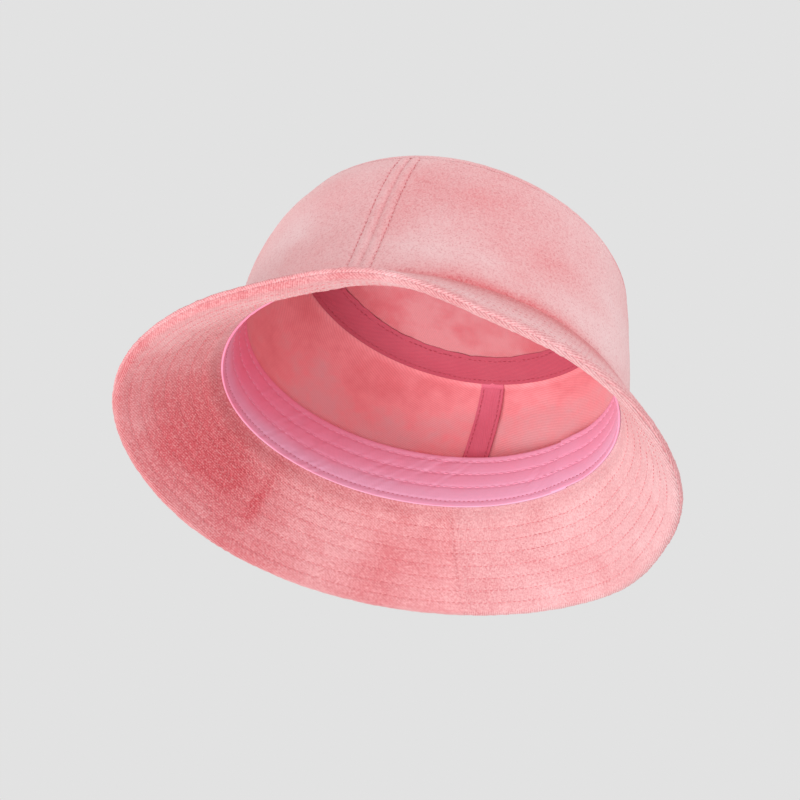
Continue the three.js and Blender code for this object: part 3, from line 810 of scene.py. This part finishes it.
def side_tape(index):
    seam = SEAMS[index]
    half = SIDE_TAPE_W / 2
    edge = np.array([half, half - 0.12, half - 0.4])
    across = np.concatenate([-edge, np.linspace(-5.4, 5.4, 19), edge[::-1]])
    z = np.linspace(11, 87.0, 114)[None]
    base = np.interp(z, [84.3, 85.9, 87.0], [WALL_IN, 2.5, 1.4]) - 0.25
    p = (seam + across / (HEAD_R * WALL_ARC))[:, None]
    a = across[:, None]
    pull = 0.22 * groove(np.abs(a) - (half - 1.6), 0.6) * (0.7 + 0.3 * np.cos(2 * np.pi * z / STITCH))
    lumps = 0.16 * noise(a / 6 + 3 * index, z / 9, 2.5) + 0.25 * groove(a, 1.6)
    fold = 0.25 * groove(half - np.abs(a), 0.25)
    face = crown(p, z, base - 1.0 - lumps + pull + fold)
    back = crown(p, z, base + 0 * p)
    obj = sweep("side_tape_" + "ab"[index], strip_outline(face, back), False, TAPE)
    return seat(obj, "seam_tape", "side_seam_tape_" + "ab"[index], flat=(0.0125, 0.077))


side_tape(0)
side_tape(1)

# ---------- Stitches ----------


def stitches(
    name, path, normals, material, slot, node,
    pitch=STITCH, fill=0.72, radius=0.17, closed=True, wander=0.1,
):
    """Separate stitches along a path, each a short arched thread that dips into the cloth at both ends."""
    if closed:
        path, normals = np.vstack([path, path[:1]]), np.vstack([normals, normals[:1]])
    lengths = np.concatenate([[0], np.cumsum(np.linalg.norm(np.diff(path, axis=0), axis=1))])
    count = max(1, int(lengths[-1] / pitch))
    starts = (np.arange(count) + 0.14) * lengths[-1] / count
    rings, sides = 7, 6
    u = np.linspace(0, 1, rings)
    at = starts[:, None] + u[None] * fill * pitch
    spot = np.stack([np.interp(at, lengths, path[:, k]) for k in range(3)], -1)
    up = np.stack([np.interp(at, lengths, normals[:, k]) for k in range(3)], -1)
    up /= np.linalg.norm(up, axis=-1, keepdims=True)
    ahead = np.gradient(spot, axis=1)
    ahead /= np.linalg.norm(ahead, axis=-1, keepdims=True)
    out = np.cross(ahead, up)
    jitter = np.random.default_rng(len(name)).normal(0, wander, (count, 1, 1))
    spot = spot + out * jitter + up * (radius * (2.2 * np.sin(np.pi * u) ** 0.6 - 1.4))[None, :, None]
    size = radius * (0.45 + 0.55 * np.sin(np.pi * np.clip(u, 0.04, 0.96)) ** 0.5)
    turn = np.arange(sides) * 2 * np.pi / sides
    across, rise = np.cos(turn)[None, None, :, None], np.sin(turn)[None, None, :, None]
    circle = out[:, :, None] * across + up[:, :, None] * rise
    points = spot[:, :, None] + circle * size[None, :, None, None]
    quads = grid_faces(rings, sides, False, True)
    offset = (np.arange(count) * rings * sides)[:, None, None]
    faces = (quads[None] + offset).reshape(-1, 4).tolist()
    for c in range(count):
        base = c * rings * sides
        faces.append([base + k for k in range(sides)][::-1])
        faces.append([base + (rings - 1) * sides + k for k in range(sides)])
    return seat(build(name, points.reshape(-1, 3), faces, material), slot, node)


def direction(f, eps=0.5):
    """Unit normal of a surface from two nearby offsets."""
    d = f(eps) - f(0.0)
    return d / np.linalg.norm(d, axis=-1, keepdims=True)


P_ROW = np.linspace(0, 2 * math.pi, 900, endpoint=False)
for i, s in enumerate(BRIM_ROWS):
    for kind, sign, seed, thread in (("top", 1, 11, THREAD_TOP), ("under", -1, 21, THREAD_UNDER)):
        level = LAYER_OUT + brim_relief(P_ROW, np.full_like(P_ROW, s), seed)
        path = brim(P_ROW, s, sign * level)
        normal = direction(lambda e: brim(P_ROW, s, sign * (level + e)))
        node = f"brim_stitch_row_{kind}_{i + 1}"
        stitches(f"brim_row_{kind}_{i + 1}", path, normal, thread, "shell_thread", node)

for i, z in enumerate(BAND_ROWS):
    fine = i == 0
    level = lap_step(P_ROW) - 0.15 + band_relief(P_ROW, np.full_like(P_ROW, z))
    path = crown(P_ROW, z, -level)
    normal = direction(lambda e: crown(P_ROW, z, -(level + e)))
    size = {"pitch": 2.6, "fill": 0.6, "radius": 0.13} if fine else {"pitch": 4.4, "fill": 0.8, "radius": 0.2}
    thread, node = THREAD_TAPE if fine else THREAD_BAND, f"sweatband_stitch_row_{i + 1}"
    stitches(f"band_row_{i + 1}", path, normal, thread, "band_thread", node, **size)

for i, u in enumerate((1.5, 11.9)):
    z, off = (float(v) for v in tip_tape_at(u))
    path = crown(P_ROW, z - 0.1, off)
    normal = np.tile([0, 0, -1.0], (len(P_ROW), 1))
    name, node = f"tip_tape_row_{i + 1}", f"tip_tape_stitch_row_{i + 1}"
    stitches(name, path, normal, THREAD_TAPE, "tape_thread", node, wander=0.25 if i else 0.1)

for index, seam in enumerate(SEAMS):
    for hand, sign in (("left", -1), ("right", 1)):
        z = np.linspace(4, 85, 160)
        p = seam + sign * TOPSTITCH / HEAD_R
        sway, pull = crown_relief(p, z, crown(p, z, WALL_OUT))
        path = crown(p, z, WALL_OUT + sway + pull)
        normal = direction(lambda e: crown(p, z, WALL_OUT + e))
        end = f"{'ab'[index]}_{hand}"
        node = "side_seam_topstitch_" + end
        stitches("crown_row_" + end, path, normal, THREAD_SHELL, "shell_thread", node, closed=False)
        z = np.linspace(BAND_H + 1, 83.5, 120)
        p = seam + sign * (SIDE_TAPE_W / 2 - 1.6) / (HEAD_R * WALL_ARC)
        path = crown(p, z, 2.35)
        normal = direction(lambda e: crown(p, z, 2.35 - e))
        node = "side_tape_stitch_" + end
        stitches("tape_row_" + end, path, normal, THREAD_TAPE, "tape_thread", node, closed=False, radius=0.14)

# The sweatband's interlining is hidden, so it stays as the CAD has it.
band_stiffener = frame["nodes"]["sweatband_interlining"]
band_stiffener.data.materials.clear()
band_stiffener.data.materials.append(LINING)

# ---------- Camera, floor and light ----------


def view_axes(elevation, roll, yaw):
    el, roll, yaw = (math.radians(v) for v in (elevation, roll, yaw))
    back = np.array([math.sin(yaw) * math.cos(el), -math.cos(yaw) * math.cos(el), math.sin(el)])
    right = np.cross(-back, [0, 0, 1])
    right /= np.linalg.norm(right)
    up = np.cross(right, -back)
    turned = math.cos(roll) * right + math.sin(roll) * up
    return turned, -math.sin(roll) * right + math.cos(roll) * up, back


RIGHT, UP, BACK = view_axes(-39.14, 15.85, 19.69)
CAMERA_AT = ORIGIN + (BACK * 1000 - RIGHT * 8.55 + UP * 0.26) * MM

camera_data = bpy.data.cameras.new("camera")
camera_data.lens = 90
camera_data.sensor_width = 36
camera_data.clip_end = 50
camera = bpy.data.objects.new("camera", camera_data)
basis = Matrix(np.stack([RIGHT, UP, BACK], 1).tolist()).to_4x4()
camera.matrix_world = Matrix.Translation(Vector(CAMERA_AT)) @ basis
bpy.context.scene.collection.objects.link(camera)
bpy.context.scene.camera = camera


def area_light(name, right, up, back, size, watts, colour=(1, 1, 1)):
    """A soft light placed by how far it is to the camera's right, above it and towards it."""
    data = bpy.data.lights.new(name, "AREA")
    data.shape = "DISK"
    data.size = size
    data.energy = watts
    data.color = colour
    obj = bpy.data.objects.new(name, data)
    middle = ORIGIN + np.array([0, 0, 0.03])
    place = middle + RIGHT * right + UP * up + BACK * back
    obj.location = Vector(place)
    obj.rotation_euler = (Vector(middle) - Vector(place)).to_track_quat("-Z", "Y").to_euler()
    bpy.context.scene.collection.objects.link(obj)


area_light("low_left", -1.0, -0.9, 0.9, 0.8, 19)
area_light("front", -0.1, -0.1, 1.5, 0.8, 4.5)
area_light("top", 0.1, 1.5, 0.3, 1.0, 2.2)
area_light("right", 1.3, 0.5, 0.6, 0.9, 3)

floor_material = Nodes("floor")
grain = floor_material.noise(8, 2, 0.5)
floor_colour = floor_material.ramp(grain, [(0.3, (0.74, 0.74, 0.74)), (0.7, (0.78, 0.78, 0.78))])
floor_material.finish(floor_colour, 0.9, None, specular=0.1)
floor_mesh = bpy.data.meshes.new("floor")
FLOOR_HALF, FLOOR_LEVEL = 8.0, -1.7  # metres
corners = [(x * FLOOR_HALF, y * FLOOR_HALF, FLOOR_LEVEL) for x, y in ((-1, -1), (1, -1), (1, 1), (-1, 1))]
floor_mesh.from_pydata(corners, [], [(0, 1, 2, 3)])
floor_mesh.materials.append(floor_material.material)
floor = bpy.data.objects.new("floor", floor_mesh)
bpy.context.scene.collection.objects.link(floor)

world = bpy.data.worlds.new("world")
bpy.context.scene.world = world
world.use_nodes = True
tree = world.node_tree
background = tree.nodes["Background"]
background.inputs["Color"].default_value = (0.761, 0.761, 0.761, 1)
background.inputs["Strength"].default_value = 1.0
bpy.context.scene.view_settings.view_transform = "Standard"
